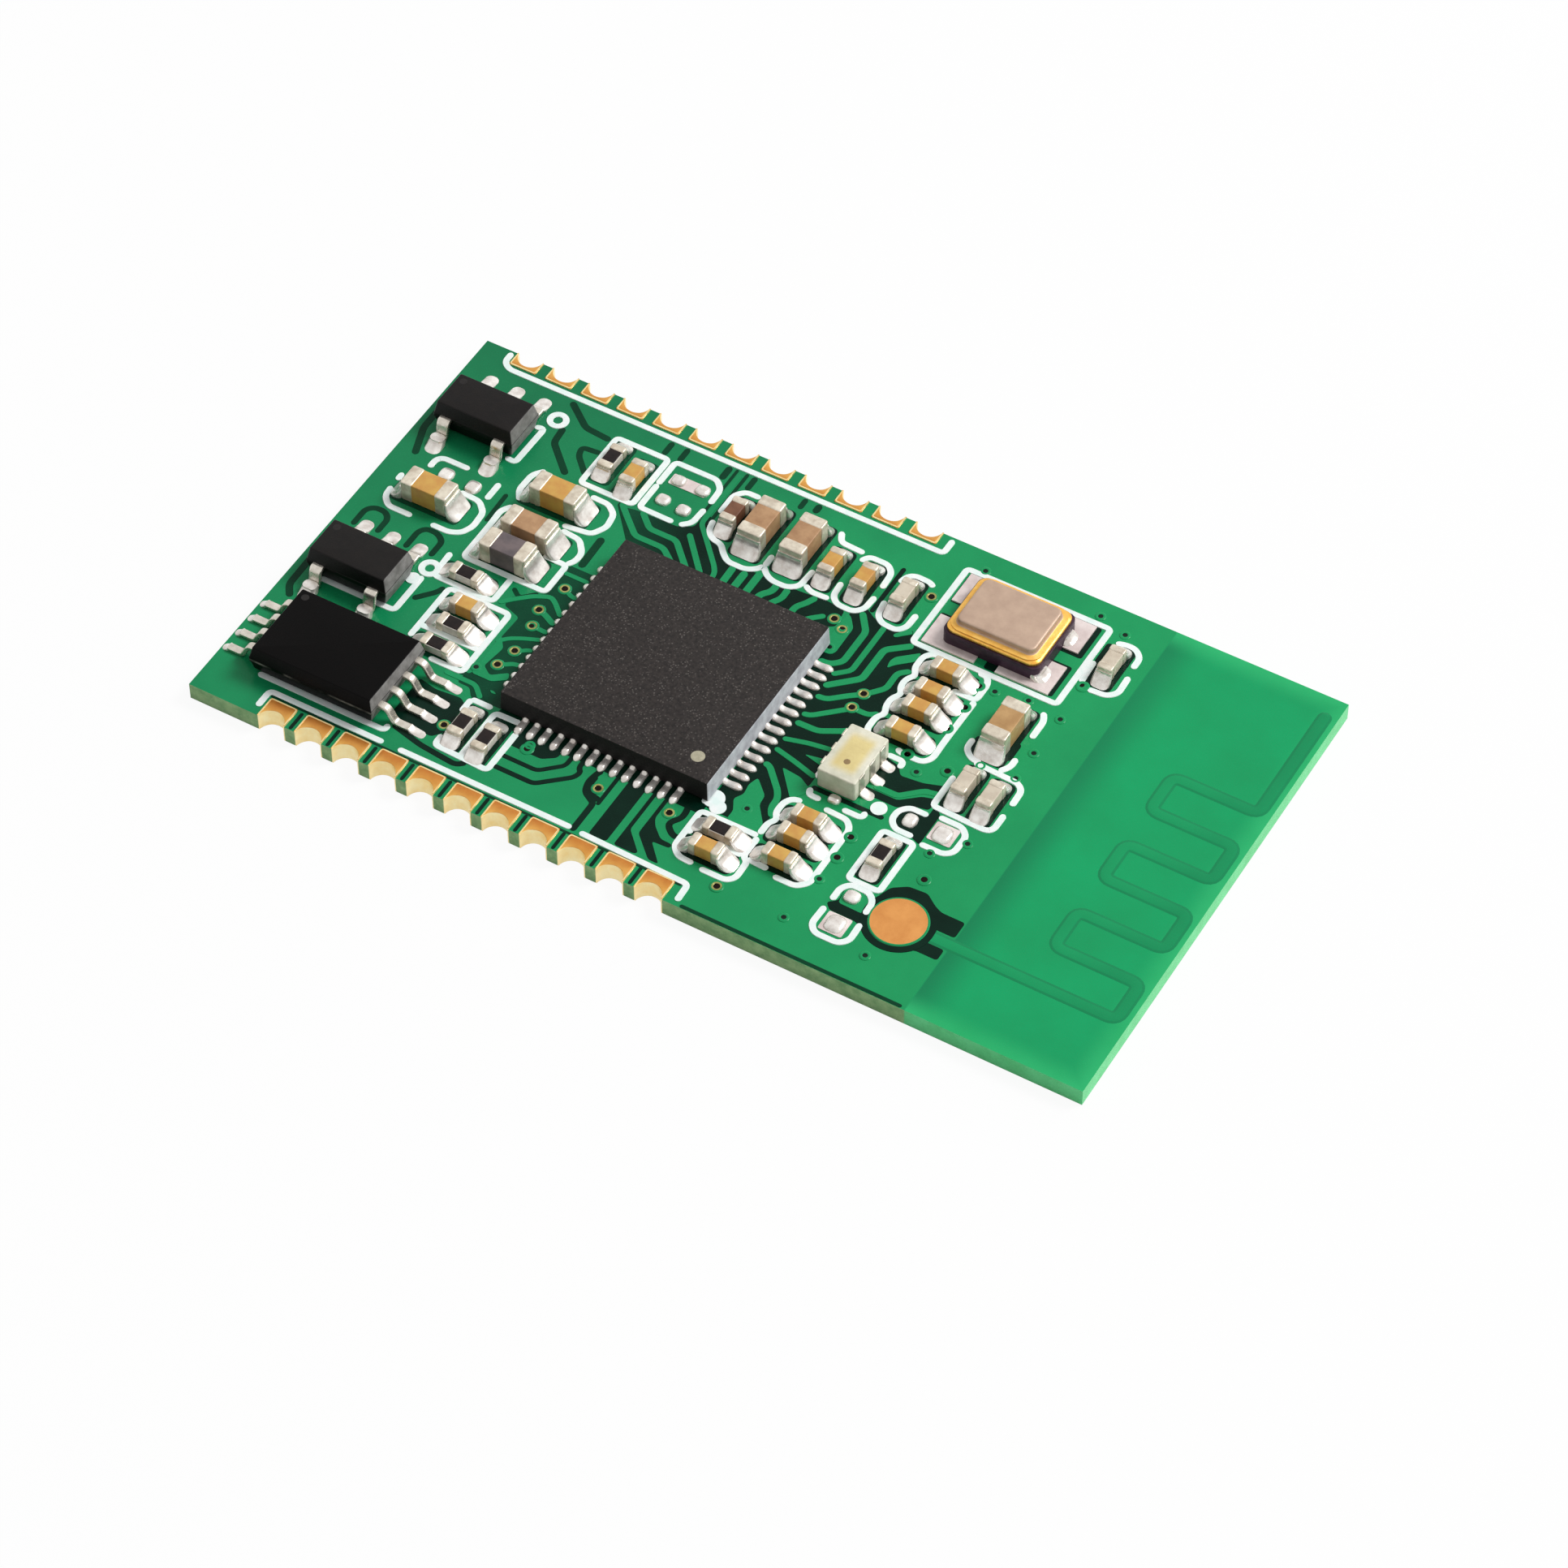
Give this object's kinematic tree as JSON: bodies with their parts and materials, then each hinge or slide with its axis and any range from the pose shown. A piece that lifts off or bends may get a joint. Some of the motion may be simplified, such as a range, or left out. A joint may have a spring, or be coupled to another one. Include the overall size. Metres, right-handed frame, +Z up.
{
  "type": "bluetooth audio module",
  "caption": "Small castellated circuit board with a square wireless audio chip, memory chip, regulators, crystal, chip parts and a printed meander antenna.",
  "frame": {"origin": "centre of the board's underside", "axes": "+X along the board to the antenna end, +Y to the row of twelve edge pads, +Z up through the parts"},
  "size_m": [0.0294, 0.0162, 0.0017],
  "materials": {
    "board_laminate": "green solder mask over glass-epoxy laminate, pale olive edge",
    "gold_copper": "thin gold flash over copper",
    "masked_copper": "copper under green solder mask",
    "chip_moulding": "charcoal moulding compound with a fine speckle",
    "package_moulding": "black moulding compound",
    "tinned_lead": "matt tin plate",
    "solder": "bright reflowed solder",
    "crystal_ceramic": "dark fired ceramic",
    "gold_plate": "gold plated seal ring",
    "lid_metal": "satin nickel lid with a warm tint",
    "cream_ceramic": "cream ceramic",
    "tan_ceramic": "tan ceramic with bright tinned end caps",
    "brown_ceramic": "brown ceramic with bright tinned end caps",
    "gray_ceramic": "gray ceramic with bright tinned end caps",
    "resistor_glaze": "black glaze over white alumina with bright end caps"
  },
  "bodies": {
    "root": {"antenna_trace": "masked_copper", "balun_body": "cream_ceramic", "balun_terminals": "tinned_lead", "bluetooth_chip_body": "chip_moulding", "bluetooth_chip_ground_pad": "solder", "bluetooth_chip_terminals": "solder", "capacitor_1": "tan_ceramic", "capacitor_10": "tan_ceramic", "capacitor_11": "tan_ceramic", "capacitor_12": "tan_ceramic", "capacitor_13": "tan_ceramic", "capacitor_14": "tan_ceramic", "capacitor_15": "tan_ceramic", "capacitor_16": "tan_ceramic", "capacitor_17": "tan_ceramic", "capacitor_18": "tan_ceramic", "capacitor_19": "tan_ceramic", "capacitor_2": "tan_ceramic", "capacitor_3": "brown_ceramic", "capacitor_4": "tan_ceramic", "capacitor_5": "tan_ceramic", "capacitor_6": "brown_ceramic", "capacitor_7": "brown_ceramic", "capacitor_8": "brown_ceramic", "capacitor_9": "tan_ceramic", "circuit_board": "board_laminate", "crystal_base": "crystal_ceramic", "crystal_lands": "solder", "crystal_lid": "lid_metal", "crystal_seal_ring": "gold_plate", "edge_pads_north": "gold_copper", "edge_pads_south": "gold_copper", "inductor_1": "gray_ceramic", "inductor_2": "gray_ceramic", "inductor_3": "gray_ceramic", "inductor_4": "gray_ceramic", "inductor_5": "gray_ceramic", "memory_chip_body": "package_moulding", "memory_chip_leads": "tinned_lead", "regulator_1_body": "package_moulding", "regulator_1_leads": "tinned_lead", "regulator_2_body": "package_moulding", "regulator_2_leads": "tinned_lead", "resistor_1": "resistor_glaze", "resistor_2": "resistor_glaze", "resistor_3": "resistor_glaze", "resistor_4": "resistor_glaze", "resistor_5": "resistor_glaze", "resistor_6": "resistor_glaze", "resistor_7": "resistor_glaze", "resistor_8": "resistor_glaze", "solder_joints": "solder", "test_pad": "gold_copper", "tinned_pads": "solder", "via_barrels": "gold_copper"}
  },
  "joints": []
}
